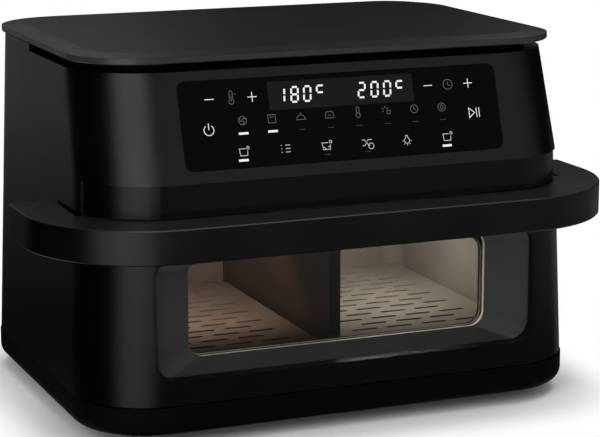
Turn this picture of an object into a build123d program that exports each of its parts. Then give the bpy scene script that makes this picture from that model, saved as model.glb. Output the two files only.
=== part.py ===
from build123d import *
import os
from math import atan2, cos, degrees, pi, radians, sin, tan

# Two-zone air fryer with one wide drawer, in millimetres.
# +Z is up, the drawer opens towards -Y, and the origin is the middle of the footprint, on the floor.

# Overall size
overall_width = 480.0
overall_depth = 346.0
overall_height = 295.0

# Body form: a box with rounded upright corners whose walls lean in towards the top
body_width = 416.0
draft = 1.95
corner_radius = 62.0
rear_corner_radius = 54.0
shell_wall = 2.8
front_wall = 3.0
front_flange = 14.0
side_seam_depth = 45.5
shell_gap = 0.8

# Levels above the floor
foot_height = 9.5
skirt_top = 32.7
drawer_gap = 1.0
handle_height = 26.1
handle_top = 174.9
fascia_bottom = 200.7
fascia_top = 281.1
vent_gap = 6.9
flange = 2.5

# Front steps, measured from the front of the handle
handle_reach = 35.0
fascia_overhang = 1.2
band_inset = 1.6
fascia_setback = 25.0

# Base skirt
skirt_proud = 0.6
skirt_edge_radius = 10.0
skirt_bevel = 0.6

# Feet
foot_radius = 11.0
foot_from_side = 46.0
foot_from_end = 51.0
foot_pin_radius = 4.0
foot_pin_height = 5.0
foot_bevel = 1.5

# Top cover
cover_width = 403.8
cover_front_inset = 55.3
cover_rear_inset = 6.2
cover_corner_radius = 56.0
cover_bevel_width = 16.4
cover_bevel_drop = 2.1
cover_skin = 2.4
cover_edge = 0.8
rim_width = 18.0
shell_edge_radius = 3.0
vent_rear = 44.0
neck_inset = 12.0
neck_wall = 3.0
neck_slot_length = 26.0
neck_slot_pitch = 34.0
neck_slot_height = 4.0

# Control panel, placed up the slope of the fascia
glass_width = 264.6
glass_height = 68.2
glass_centre = 43.1
glass_radius = 6.5
glass_thickness = 2.0
glass_seat = 3.5
display_width = 121.0
display_height = 22.6
display_centre = 62.0
display_depth = 8.0
board_thickness = 1.6
board_margin = 14.0

# Gloss strip let into the band
strip_width = 305.6
strip_thickness = 2.0
strip_margin = 0.5

# Handle
handle_corner_radius = 97.8
handle_wall = 7.0
handle_inner_wall = 2.5
handle_shelf = 4.0
handle_edge = 0.8
ear_end = -31.5
ear_inner = 205.6
ear_end_wall = 5.0
shelf_lap = 10.0

# Window in the drawer
opening_width = 316.0
opening_bottom = 52.7
opening_top = 146.0
opening_radius = 15.0
opening_lip = 2.4
lip_back = -133.7
pane_view_width = 251.4
pane_view_bottom = 62.7
pane_view_top = 140.0
pane_view_radius = 12.0
surround_back = -119.3
surround_wall = 1.6
surround_flange = 7.0
pane_lap = 6.0
gasket_thickness = 3.0
outer_pane = 4.0
clamp_thickness = 1.2
inner_pane = 3.0

# Cooking pan
pan_width = 340.0
pan_front = -107.0
pan_rear = 135.0
pan_bottom = 40.5
pan_top = 142.0
pan_corner_radius = 18.0
pan_lean = 4.0
pan_wall = 1.2
pan_rim = 4.0
pan_floor_radius = 6.0

# Divider and crisper plates
running_gap = 0.3
divider_thickness = 6.0
divider_top = 139.0
grip_length = 64.0
grip_height = 16.0
grip_drop = 18.0
guide_wall = 1.6
guide_depth = 5.0
plate_gap = 2.5
plate_level = 56.5
plate_thickness = 1.5
plate_skirt = 6.0
plate_corner_radius = 14.0
plate_edge = 1.0
plate_slot_length = 24.0
plate_slot_width = 4.0
plate_slot_pitch_x = 31.0
plate_slot_pitch_y = 15.0
bumper_radius = 6.0

# Cavity liner
liner_width = 368.0
liner_front = -112.0
liner_rear = 148.0
liner_radius = 10.0
liner_front_radius = 24.0
liner_bottom = 36.5
liner_top = 200.0
liner_wall = 1.0
liner_lip_bottom = 177.0
rail_width = 24.0
rail_spacing = 240.0
rail_wall = 1.5
frame_front = -86.0
frame_thickness = 3.0

# Runners and slides
runner_level = 100.0
runner_ledge = 2.5
slide_height = 12.0
slide_side_gap = 0.8

# Heating zones
zone_x = 88.0
zone_y = 14.0
insulation_thickness = 5.0
shield_thickness = 1.0
shield_radius = 34.0
shield_drop = 22.0
guard_radius = 80.0
guard_level = 158.0
guard_thickness = 1.4
guard_bar = 2.2
guard_rings = 5
guard_spokes = 8
guard_post_radius = 2.4
hoop_sides = 24
element_level = 168.0
element_radius = 3.2
element_outer = 72.0
element_inner = 59.0
element_gap_angle = 70.0
element_sweep = 320.0
element_steps = 21
bend_steps = 6
tube_sides = 8
shaft_radius = 3.0
bearing_clearance = 0.05
shaft_opening = 6.0
fan_radius = 54.0
fan_bottom = 178.0
fan_blade_height = 13.0
fan_blades = 9
fan_disc = 1.2
cooling_radius = 36.0
cooling_bottom = 246.0
cooling_blade_height = 9.0
cooling_blades = 7
blade_thickness = 1.2
blade_sweep = 22.0
hub_radius = 9.0
shaft_top = 258.0
motor_radius = 29.0
motor_height = 28.0
motor_can = 0.6
motor_cap = 0.62
lamination_width = 1.7
lamination_height = 0.36
bracket_size = 72.0
bracket_height = 5.0
bracket_thickness = 1.5
bracket_foot = 8.0

# Lamp and probes
lamp_y = -72.0
lamp_radius = 15.0
lens_drop = 5.0
lamp_holder_height = 20.0
probe_radius = 2.0
probe_length = 30.0
probe_y = 116.0

# Electronics over the cavity
power_board_width = 84.0
power_board_depth = 118.0
power_board_y = 16.0
standoff_height = 10.0
standoff_radius = 3.5

# Exhaust and power entry at the rear
duct_width = 100.0
duct_front = 104.0
duct_depth = 36.0
duct_level = 212.0
duct_height = 38.0
duct_wall = 1.0
grille_frame = 6.0
grille_depth = 4.0
grille_slats = 7
slat_thickness = 1.6
slat_tilt = 35.0
gland_x = -150.0
gland_z = 56.0
gland_radius = 8.5
gland_flange_radius = 12.0
gland_bore_radius = 3.8
gland_length = 22.0

# Fasteners
screw_radius = 1.7
screw_sides = 8
screw_head_radius = 3.2
screw_head = 1.8

# Drawer sensor and magnet
sensor_x = 110.0
sensor_width = 18.0
sensor_height = 10.0
sensor_depth = 6.0

lean = tan(radians(draft))
handle_front = -overall_depth / 2
handle_bottom = handle_top - handle_height
band_front = handle_front + handle_reach
foot_line = band_front - fascia_overhang
head_line = band_front + fascia_setback
cover_bottom = fascia_top + vent_gap
drawer_bottom = skirt_top + drawer_gap
drawer_top = handle_top - handle_shelf
band_bottom = handle_top + drawer_gap
reach = 400.0


def half_width(z):
    """Half the body's width at a level: the sides lean in from the top of the skirt."""
    return body_width / 2 - lean * (z - skirt_top)


def front_at(z):
    """Front surface at a level: drafted below the fascia's foot, leaning back above it."""
    if z <= fascia_bottom:
        return foot_line - lean * (fascia_bottom - z)
    slope = (head_line - foot_line) / (fascia_top - fascia_bottom)
    return foot_line + slope * (z - fascia_bottom)


def rear_at(z):
    """Rear surface at a level, leaning in like the sides."""
    return overall_depth / 2 - skirt_proud - lean * (z - skirt_top)


def rounded(half, front, rear, front_radius, rear_radius, z):
    """Horizontal rectangle about the centre plane with rounded upright corners."""
    face = Pos(0, (front + rear) / 2) * Rectangle(2 * half, rear - front)
    face = fillet(face.vertices().group_by(Axis.Y)[0], front_radius)
    face = fillet(face.vertices().group_by(Axis.Y)[-1], rear_radius)
    return Pos(0, 0, z) * face


def outline(z, inset=0.0):
    """Section of the body form at a level, moved inwards by an inset."""
    return rounded(
        half_width(z) - inset,
        front_at(z) + inset,
        rear_at(z) - inset,
        corner_radius - inset,
        rear_corner_radius - inset,
        z,
    )


def form(low, high, inset=0.0):
    """Body form between two levels, broken at the fascia's foot where the front changes slope."""
    levels = [low]
    if low < fascia_bottom < high:
        levels.append(fascia_bottom)
    levels.append(high)
    solid = loft([outline(levels[0], inset), outline(levels[1], inset)], ruled=True)
    if len(levels) == 3:
        solid = solid + loft([outline(levels[1], inset), outline(levels[2], inset)], ruled=True)
    return solid


def block(x0, x1, y0, y1, z0, z1):
    """Box between three pairs of coordinates."""
    return Pos((x0 + x1) / 2, (y0 + y1) / 2, (z0 + z1) / 2) * Box(x1 - x0, y1 - y0, z1 - z0)


def front_zone(shift=0.0):
    """Everything ahead of the side seam, which runs parallel to the front of the body."""
    y_low = front_at(0) + side_seam_depth + shift
    y_mid = front_at(fascia_bottom) + side_seam_depth + shift
    y_high = front_at(fascia_top) + side_seam_depth + shift
    points = [
        (-reach, 0),
        (y_low, 0),
        (y_mid, fascia_bottom),
        (y_high, fascia_top),
        (y_high, overall_height + 10),
        (-reach, overall_height + 10),
    ]
    return extrude(Plane.YZ * make_face(Polyline(*points, close=True)), amount=reach, both=True)


def upright(width, bottom, top, radius, y):
    """Rounded rectangle facing the front, on a plane across Y."""
    face = Pos(0, (bottom + top) / 2) * RectangleRounded(width, top - bottom, radius)
    return Plane(origin=(0, y, 0), x_dir=(1, 0, 0), z_dir=(0, -1, 0)) * face


def slab(width, bottom, top, radius, y0, y1):
    """Upright rounded plate between two Y planes."""
    return extrude(upright(width, bottom, top, radius, y1), amount=y1 - y0)


def pillar(x, y, z0, z1, radius):
    """Upright cylinder between two levels."""
    return Pos(x, y, (z0 + z1) / 2) * Cylinder(radius, z1 - z0)


def prism(x, y, z0, z1, radius, sides=screw_sides):
    """Upright prism between two levels, for small shanks, pins and holes."""
    return extrude(Pos(x, y, z0) * RegularPolygon(radius, sides), amount=z1 - z0)


def screw(length):
    """Hex-head screw pointing down, with its head's seat at the origin."""
    return prism(0, 0, -length, 0, screw_radius) + prism(0, 0, 0, screw_head, screw_head_radius, 6)


def both_sides(solid):
    """A solid and its mirror image across the centre plane."""
    return Compound(children=[solid, mirror(solid, about=Plane.YZ)])


panel_angle = atan2(head_line - foot_line, fascia_top - fascia_bottom)
panel_plane = Plane(
    origin=(0, foot_line, fascia_bottom),
    x_dir=(1, 0, 0),
    z_dir=(0, -cos(panel_angle), sin(panel_angle)),
)


def on_panel(width, height, centre, radius, back, front):
    """Rounded plate lying in the slope of the fascia, between two depths behind its face."""
    face = Pos(0, centre, back) * RectangleRounded(width, height, radius)
    return panel_plane * extrude(face, amount=front - back)


# Base: a shallow tray with a skirt just proud of the body and a rounded bottom edge


def make_base_tray():
    half = half_width(skirt_top) + skirt_proud
    front = front_at(skirt_top) - skirt_proud
    rear = overall_depth / 2
    tray = extrude(rounded(half, front, rear, corner_radius, rear_corner_radius, foot_height),
                   amount=skirt_top - foot_height)
    tray = fillet(tray.edges().group_by(Axis.Z)[0], skirt_edge_radius)
    tray = chamfer(tray.edges().group_by(Axis.Z)[-1], skirt_bevel)
    inside = rounded(half - shell_wall, front + shell_wall, rear - shell_wall,
                     corner_radius - shell_wall, rear_corner_radius - shell_wall, foot_height + shell_wall)
    well = extrude(inside, amount=skirt_top)
    well = chamfer(well.edges().group_by(Axis.Z)[0], skirt_edge_radius - shell_wall)
    deck = block(-reach, reach, -reach, frame_front + frame_thickness + 2, skirt_top - flange, overall_height)
    tray = tray - (well - deck)
    for x, y in foot_places():
        tray = tray - prism(x, y, 0, foot_height + foot_pin_height, foot_pin_radius)
    return tray - make_base_screws().solids()


def foot_places():
    x = body_width / 2 - foot_from_side
    front = front_at(skirt_top) + foot_from_end
    rear = overall_depth / 2 - foot_from_end
    return [(sx * x, y) for y in (front, rear) for sx in (-1, 1)]


def make_rubber_feet():
    foot = Pos(0, 0, foot_height / 2) * Cylinder(foot_radius, foot_height)
    foot = chamfer(foot.edges().group_by(Axis.Z)[0], foot_bevel)
    foot = foot + prism(0, 0, foot_height, foot_height + foot_pin_height, foot_pin_radius)
    return Compound(children=[Pos(x, y) * foot for x, y in foot_places()])


# Outer shell: sides and back in one moulding, with a ledge that carries the top cover


def rear_window():
    """Opening in the back wall for the exhaust grille."""
    half = duct_width / 2
    return block(-half, half, overall_depth / 4, reach, duct_level, duct_level + duct_height)


def make_housing_shell():
    shell = form(skirt_top, cover_bottom)
    shell = fillet(shell.edges().group_by(Axis.Z)[-1], shell_edge_radius)
    shell = shell - form(skirt_top - 1, fascia_top - flange, shell_wall)
    shell = shell - form(fascia_top - flange - 1, cover_bottom + 1, rim_width)
    shell = shell - block(-reach, reach, -reach, vent_rear, fascia_top, overall_height)
    shell = shell - front_zone(shell_gap / 2)
    return shell - rear_window() - gland_body()


def make_top_cover():
    half = cover_width / 2
    front = handle_front + cover_front_inset
    rear = overall_depth / 2 - cover_rear_inset
    edge_top = overall_height - cover_bevel_drop
    bevel = cover_bevel_width
    radius = cover_corner_radius
    lip = extrude(rounded(half, front, rear, radius, radius, cover_bottom), amount=edge_top - cover_bottom)
    lip = chamfer(lip.edges().group_by(Axis.Z)[0], cover_edge)
    low = rounded(half, front, rear, radius, radius, edge_top)
    high = rounded(half - bevel, front + bevel, rear - bevel, radius - bevel, radius - bevel, overall_height)
    cover = lip + loft([low, high], ruled=True)
    margin = rim_width + cover_bevel_drop
    hollow = rounded(half - margin, front + margin, rear - margin, radius - margin, radius - margin,
                     cover_bottom)
    return cover - extrude(hollow, amount=overall_height - cover_skin - cover_bottom)


def make_vent_neck():
    """Collar under the cover, cut with a row of air slots along the front and both sides."""
    top = cover_bottom
    neck = form(fascia_top, top, neck_inset) - form(fascia_top - 1, top + 1, neck_inset + neck_wall)
    neck = neck - block(-reach, reach, vent_rear, reach, 0, overall_height)
    z0 = fascia_top + (vent_gap - neck_slot_height) / 2
    z1 = z0 + neck_slot_height
    half = half_width(fascia_top) - corner_radius
    y = front_at(fascia_top) + neck_inset
    count = int(2 * half / neck_slot_pitch)
    slots = []
    for i in range(count):
        x = (i - (count - 1) / 2) * neck_slot_pitch
        slots.append(block(x - neck_slot_length / 2, x + neck_slot_length / 2, y - 5, y + 10, z0, z1))
    rows = int((vent_rear - front_at(cover_bottom) - corner_radius) / neck_slot_pitch)
    for i in range(rows):
        y = vent_rear - (i + 0.5) * neck_slot_pitch
        slots.append(block(-reach, reach, y - neck_slot_length / 2, y + neck_slot_length / 2, z0, z1))
    return neck - slots


# Control fascia: leans back, wraps round both front corners and holds the glass


def make_control_fascia():
    fascia = form(fascia_bottom, fascia_top)
    fascia = fascia - form(fascia_bottom + flange, fascia_top - flange, front_wall)
    fascia = fascia - form(fascia_bottom - 1, fascia_top + 1, rim_width)
    fascia = fascia & front_zone(-shell_gap / 2)
    fascia = fascia - on_panel(glass_width, glass_height, glass_centre, glass_radius, -glass_thickness, 5)
    seat = 2 * glass_seat
    radius = glass_radius - glass_seat / 2
    return fascia - on_panel(glass_width - seat, glass_height - seat, glass_centre, radius, -rim_width, 5)


def make_control_glass():
    return on_panel(glass_width, glass_height, glass_centre, glass_radius, -glass_thickness, 0)


def make_display_module():
    back = -glass_thickness - display_depth
    return on_panel(display_width, display_height, display_centre, 1.0, back, -glass_thickness)


def make_control_board():
    front = -glass_thickness - display_depth
    width = glass_width - 2 * board_margin
    height = glass_height - board_margin
    return on_panel(width, height, glass_centre, 2.0, front - board_thickness, front)


def make_band_trim():
    band = form(band_bottom, fascia_bottom, band_inset)
    band = band - form(band_bottom + flange, fascia_bottom + 1, band_inset + front_wall)
    band = band - form(band_bottom - 1, fascia_bottom + 1, front_flange)
    band = band & front_zone(-shell_gap / 2)
    return band - strip_body()


def strip_body():
    """Strip set flush into the front of the band."""
    level = band_bottom + strip_margin
    top = fascia_bottom - strip_margin
    y = front_at(band_bottom) + band_inset
    body = form(band_bottom, fascia_bottom, band_inset) & block(
        -strip_width / 2, strip_width / 2, -reach, y + strip_thickness, level, top)
    return body


# Cavity: a steel box open at the front, on two rails, with runners for the drawer


def make_chassis_rails():
    length_front = frame_front + 8
    low = foot_height + shell_wall
    outer = block(rail_spacing / 2 - rail_width / 2, rail_spacing / 2 + rail_width / 2,
                  length_front, liner_rear, low, liner_bottom)
    inner = block(rail_spacing / 2 - rail_width / 2 + rail_wall, rail_spacing / 2 + rail_width / 2 - rail_wall,
                  length_front - 1, liner_rear + 1, low + rail_wall, liner_bottom - rail_wall)
    rails = both_sides(outer - inner)
    return Compound(children=[rail - make_base_screws().solids() for rail in rails.solids()])


def liner_block(inset, front, z0, z1):
    """Space of the liner, moved inwards by an inset, with rounded upright corners."""
    half = liner_width / 2 - inset
    face = rounded(half, front, liner_rear - inset, liner_front_radius - inset, liner_radius - inset, z0)
    return extrude(face, amount=z1 - z0)


def make_front_frame():
    """Ring that closes the space between the shell and the mouth of the cavity."""
    ring = form(skirt_top, liner_top, shell_wall)
    ring = ring & block(-reach, reach, frame_front, frame_front + frame_thickness, 0, overall_height)
    return ring - liner_block(0, liner_front, liner_bottom, liner_top + 1)


def make_cavity_liner():
    half = liner_width / 2
    w = liner_wall
    box = liner_block(0, liner_front, liner_bottom, liner_top)
    box = box - liner_block(w, liner_front + w, liner_bottom + w, liner_top - w)
    mouth = liner_front + liner_front_radius
    box = box - block(-half + w, half - w, liner_front - 1, mouth, liner_bottom + w, liner_lip_bottom)
    box = box - block(-half - 1, half + 1, liner_front - 1, mouth, liner_bottom - 1, liner_lip_bottom)
    top = liner_top - 5
    for sx in (-1, 1):
        box = box - prism(sx * zone_x, zone_y, top, liner_top + 5, shaft_opening)
        box = box - pillar(sx * zone_x, probe_y, top, liner_top + 5, probe_radius)
        for x, y in element_ends(sx):
            box = box - prism(x, y, top, liner_top + 5, element_radius / cos(pi / tube_sides), tube_sides)
    box = box - pillar(0, lamp_y, top, liner_top + 5, lamp_radius - 3)
    return box - duct_throat(top, liner_top + 5)


def duct_throat(z0, z1):
    half = duct_width / 2 - duct_wall
    return block(-half, half, duct_front + duct_wall, duct_front + duct_depth - duct_wall, z0, z1)


def make_drawer_runners():
    """A pair of ledges on each side wall, above and below the drawer's slide."""
    x1 = liner_width / 2 - liner_wall
    x0 = x1 - 6.5
    half = slide_height / 2 + running_gap
    y0 = liner_front + liner_front_radius + 2
    y1 = liner_rear - liner_radius - 2
    low = block(x0, x1, y0, y1, runner_level - half - runner_ledge, runner_level - half)
    high = block(x0, x1, y0, y1, runner_level + half, runner_level + half + runner_ledge)
    pieces = [low, high, mirror(low, about=Plane.YZ), mirror(high, about=Plane.YZ)]
    return Compound(children=pieces)


def shield_level():
    return liner_top + insulation_thickness


def shield_holes(z0, z1):
    """Openings that the insulation and the shield share."""
    cut = pillar(0, lamp_y, z0, z1, lamp_radius + 1)
    cut = cut + block(-duct_width / 2, duct_width / 2, duct_front, duct_front + duct_depth, z0, z1)
    for sx in (-1, 1):
        cut = cut + prism(sx * zone_x, zone_y, z0, z1, shaft_opening + 1)
        cut = cut + prism(sx * zone_x, probe_y, z0, z1, probe_radius + 3)
        for x, y in element_ends(sx):
            cut = cut + prism(x, y, z0, z1, element_radius + 3)
    return cut


def make_insulation_pad():
    face = rounded(liner_width / 2 - 4, liner_front + 4, liner_rear - 4, shield_radius - 4, shield_radius - 4,
                   liner_top)
    return extrude(face, amount=insulation_thickness) - shield_holes(liner_top - 1, shield_level() + 1)


def make_heat_shield():
    half = liner_width / 2 + 6
    z0 = shield_level()
    z1 = z0 + shield_thickness
    face = rounded(half, liner_front - 2, liner_rear + 2, shield_radius, shield_radius, z0)
    skirt = block(-half, -half + shield_thickness, frame_front + 10, liner_rear - shield_radius,
                  z0 - shield_drop, z0)
    plate = extrude(face, amount=shield_thickness) + skirt + mirror(skirt, about=Plane.YZ)
    plate = plate - shield_holes(z0 - 1, z1 + 1)
    return plate - make_motor_screws().solids()


# Heating: a guard grille, a ring element and a fan over each zone


def hoop(radius):
    """Outline of one ring of the guard, with many short sides."""
    return RegularPolygon(radius, hoop_sides) - RegularPolygon(radius - guard_bar, hoop_sides)


def make_heater_guards():
    """Rings on crossed bars, hung from the cavity's roof by four posts."""
    flat = [hoop(guard_radius * (i + 1) / guard_rings) for i in range(guard_rings)]
    for i in range(guard_spokes // 2):
        flat.append(Rot(0, 0, i * 360 / guard_spokes) * Rectangle(2 * guard_radius - guard_bar, guard_bar))
    guard = extrude(Sketch() + flat, amount=guard_thickness)
    post = guard_radius - guard_bar
    rise = liner_top - liner_wall - guard_level
    for i in range(4):
        a = radians(45 + 90 * i)
        guard = guard + prism(post * cos(a), post * sin(a), 0, rise, guard_post_radius, 6)
    return Compound(children=[Pos(sx * zone_x, zone_y, guard_level) * guard for sx in (-1, 1)])


def element_ends(sx):
    """Where the two legs of an element pass up through the cavity's roof."""
    a = radians(element_gap_angle)
    return [(sx * zone_x + r * cos(a), zone_y - r * sin(a)) for r in (element_inner, element_outer)]


def arc_points(radius):
    """Points along one ring of the element, from its leg round to the hairpin."""
    step = element_sweep / element_steps
    angles = [radians(-element_gap_angle - step * i) for i in range(element_steps + 1)]
    return [(radius * cos(a), radius * sin(a), element_level) for a in angles]


def hairpin_points():
    """Points of the half turn that joins the outer ring to the inner one."""
    end = radians(-element_gap_angle - element_sweep)
    middle = (element_outer + element_inner) / 2
    bend = (element_outer - element_inner) / 2
    points = []
    for i in range(1, bend_steps):
        t = pi * i / bend_steps
        out = middle + bend * cos(t)
        along = bend * sin(t)
        points.append((out * cos(end) + along * sin(end), out * sin(end) - along * cos(end), element_level))
    return points


def make_heating_elements():
    """A tube bent into two rings joined by a hairpin, with both ends turned up."""
    route = arc_points(element_outer) + hairpin_points() + arc_points(element_inner)[::-1]
    top = shield_level() + 8
    route = [(route[0][0], route[0][1], top)] + route + [(route[-1][0], route[-1][1], top)]
    start = Plane(origin=route[0], x_dir=(1, 0, 0), z_dir=(0, 0, -1))
    section = start * RegularPolygon(element_radius, tube_sides)
    tube = sweep(section, path=Polyline(*route), transition=Transition.RIGHT)
    return Compound(children=[Pos(sx * zone_x, zone_y) * tube for sx in (-1, 1)])


def blade(inner, outer, height):
    """One swept blade of an impeller, from the hub to the rim, in three straight stretches."""
    sides = [[], []]
    for i in range(4):
        r = inner + (outer - inner) * i / 3
        a = radians(blade_sweep * i / 3)
        for side, shift in zip(sides, (-blade_thickness / 2, blade_thickness / 2)):
            side.append((r * cos(a) - shift * sin(a), r * sin(a) + shift * cos(a)))
    return extrude(make_face(Polyline(*sides[0], *sides[1][::-1], close=True)), amount=height)


def impeller(radius, height, count):
    """Radial impeller: a disc on top, a hub and swept blades below it."""
    wheel = Pos(0, 0, height + fan_disc / 2) * Cylinder(radius, fan_disc)
    wheel = wheel + Pos(0, 0, (height + fan_disc) / 2) * Cylinder(hub_radius, height + fan_disc)
    one = blade(hub_radius - 1, radius - 1, height)
    for i in range(count):
        wheel = wheel + Rot(0, 0, i * 360 / count) * one
    return wheel - Cylinder(shaft_radius, 4 * (height + fan_disc))


def make_convection_fan(sx):
    return Pos(sx * zone_x, zone_y, fan_bottom) * impeller(fan_radius, fan_blade_height, fan_blades)


def make_cooling_fan(sx):
    wheel = impeller(cooling_radius, cooling_blade_height, cooling_blades)
    return Pos(sx * zone_x, zone_y, cooling_bottom) * wheel


def make_fan_shaft(sx):
    return pillar(sx * zone_x, zone_y, fan_bottom - 3, shaft_top, shaft_radius)


def motor_level():
    return shield_level() + shield_thickness + bracket_height


def make_motor_brackets():
    """A raised saddle under each motor, with feet on the heat shield."""
    z1 = motor_level()
    z0 = z1 - bracket_height
    h = bracket_size / 2
    t = bracket_thickness
    saddle = block(-h, h, -h / 2, h / 2, z1 - t, z1)
    saddle = saddle + block(-h, -h + t, -h / 2, h / 2, z0, z1) + block(h - t, h, -h / 2, h / 2, z0, z1)
    saddle = saddle + block(-h - bracket_foot, -h + t, -h / 2, h / 2, z0, z0 + t)
    saddle = saddle + block(h - t, h + bracket_foot, -h / 2, h / 2, z0, z0 + t)
    saddle = saddle - prism(0, 0, z0 - 1, z1 + 1, shaft_opening)
    for sx in (-1, 1):
        for sy in (-1, 1):
            saddle = saddle - prism(sx * (h + bracket_foot / 2), sy * h / 4, z0 - 1, z1 + 1, screw_radius)
    return Compound(children=[Pos(sx * zone_x, zone_y) * saddle for sx in (-1, 1)])


def make_motor_screws():
    z = motor_level() - bracket_height + bracket_thickness
    h = bracket_size / 2
    pieces = []
    for side in (-1, 1):
        for sx in (-1, 1):
            for sy in (-1, 1):
                place = Pos(side * zone_x + sx * (h + bracket_foot / 2), zone_y + sy * h / 4, z)
                pieces.append(place * screw(bracket_thickness + shield_thickness))
    return Compound(children=pieces)


def make_fan_motors():
    z0 = motor_level()
    can = Cylinder(motor_radius, motor_height * motor_can)
    body = Pos(0, 0, z0 + motor_height / 2) * can
    body = body + pillar(0, 0, z0, z0 + motor_height, motor_radius * motor_cap)
    width = lamination_width * motor_radius
    lamination = Box(width, width, motor_height * lamination_height)
    body = body + Pos(0, 0, z0 + motor_height / 2) * lamination
    body = body - pillar(0, 0, z0 - 1, z0 + motor_height + 1, shaft_radius + bearing_clearance)
    return Compound(children=[Pos(sx * zone_x, zone_y) * body for sx in (-1, 1)])


def make_temperature_probes():
    z1 = shield_level() + 6
    rod = pillar(zone_x, probe_y, liner_top - probe_length, z1, probe_radius)
    return both_sides(rod)


def make_lamp_lens():
    z = liner_top - liner_wall
    dome = pillar(0, lamp_y, z - lens_drop, z, lamp_radius)
    dome = chamfer(dome.edges().group_by(Axis.Z)[0], lens_drop * 0.6)
    return dome - pillar(0, lamp_y, z - lens_drop + 1.5, z + 1, lamp_radius - 4)


def make_lamp_holder():
    z0 = liner_top
    cup = pillar(0, lamp_y, z0, z0 + lamp_holder_height, lamp_radius)
    cup = cup - pillar(0, lamp_y, z0 - 1, z0 + lamp_holder_height - 2, lamp_radius - 3)
    bulb = pillar(0, lamp_y, z0 + 4, z0 + lamp_holder_height - 2, 5)
    return cup + bulb


def power_board_level():
    return shield_level() + shield_thickness + standoff_height


def board_corners():
    x = power_board_width / 2 - 6
    y = power_board_depth / 2 - 6
    return [(sx * x, power_board_y + sy * y) for sx in (-1, 1) for sy in (-1, 1)]


def make_board_standoffs():
    z0 = shield_level() + shield_thickness
    pieces = [prism(x, y, z0, power_board_level(), standoff_radius, 6) for x, y in board_corners()]
    return Compound(children=pieces)


def make_power_board():
    z = power_board_level()
    return block(-power_board_width / 2, power_board_width / 2, power_board_y - power_board_depth / 2,
                 power_board_y + power_board_depth / 2, z, z + board_thickness)


def make_power_components():
    """Transformer, relays and capacitor standing on the power board."""
    z = power_board_level() + board_thickness
    y = power_board_y
    pieces = [block(-30, -4, y - 46, y - 16, z, z + 24)]
    for i in range(3):
        x = -30 + 22 * i
        pieces.append(block(x, x + 18, y + 8, y + 24, z, z + 15))
    pieces.append(pillar(18, y - 28, z, z + 22, 8))
    pieces.append(block(2, 32, y + 36, y + 48, z, z + 12))
    return Compound(children=pieces)


# Exhaust and power entry


def make_exhaust_duct():
    """Bent duct from the cavity's roof to the grille in the back wall."""
    half = duct_width / 2
    w = duct_wall
    y1 = duct_front + duct_depth
    top = duct_level + duct_height
    rear = rear_at(top) - grille_depth - running_gap
    tower = block(-half, half, duct_front, y1, liner_top, top)
    tower = tower + block(-half, half, duct_front, rear, duct_level, top)
    hollow = block(-half + w, half - w, duct_front + w, y1 - w, liner_top - 1, top - w)
    hollow = hollow + block(-half + w, half - w, duct_front + w, rear + 5, duct_level + w, top - w)
    return tower - hollow


def make_exhaust_grille():
    """Louvred insert in the back wall, with its rim lying on the outside of the shell."""
    half = duct_width / 2
    z0 = duct_level
    z1 = duct_level + duct_height
    y = rear_at(z0)
    tilt = degrees(atan2(rear_at(z0) - rear_at(z1), z1 - z0))
    frame = block(-half - grille_frame, half + grille_frame, 0, 1.6, -grille_frame, duct_height + grille_frame)
    frame = frame + block(-half + 0.2, half - 0.2, -grille_depth, 0, 0.2, duct_height - 0.2)
    frame = frame - block(-half + 2, half - 2, -grille_depth - 1, 3, 2, duct_height - 2)
    pitch = (duct_height - 4) / grille_slats
    for i in range(grille_slats):
        z = 2 + pitch * (i + 0.5)
        slat = Rot(slat_tilt, 0, 0) * Box(2 * half - 3.6, grille_depth, slat_thickness)
        frame = frame + Pos(0, -grille_depth / 2 + 0.6, z) * slat
    for x in (-half / 3, half / 3):
        frame = frame + block(x - 1, x + 1, -grille_depth, 1, 1, duct_height - 1)
    return Pos(0, y, z0) * Rot(tilt, 0, 0) * frame


def gland_body():
    """Moulded bush in the back wall, where a supply lead would enter."""
    y = rear_at(gland_z)
    plane = Plane(origin=(gland_x, y - gland_length, gland_z), z_dir=(0, 1, 0))
    body = plane * extrude(Circle(gland_radius), amount=gland_length + 4)
    face = Plane(origin=(gland_x, y, gland_z), z_dir=(0, 1, 0))
    body = body + face * extrude(Circle(gland_flange_radius), amount=3)
    return body & block(-reach, reach, 0, overall_depth / 2, 0, overall_height)


def make_cord_gland():
    start = Plane(origin=(gland_x, overall_depth / 4, gland_z), z_dir=(0, 1, 0))
    return gland_body() - start * extrude(Circle(gland_bore_radius), amount=reach)


# Drawer: front panel, handle, window and pan


def make_drawer_front():
    front = form(drawer_bottom, drawer_top)
    front = front - form(drawer_bottom + flange, drawer_top - flange, front_wall)
    front = front - form(drawer_bottom - 1, drawer_top + 1, front_flange)
    front = front & front_zone(-shell_gap / 2)
    tube = slab(opening_width + 2 * opening_lip, opening_bottom - opening_lip, opening_top + opening_lip,
                opening_radius + opening_lip, -reach, lip_back)
    front = front + (tube & form(drawer_bottom, drawer_top))
    front = front - slab(opening_width, opening_bottom, opening_top, opening_radius, -reach, lip_back + 1)
    return front - make_handle_screws().solids()


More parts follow.
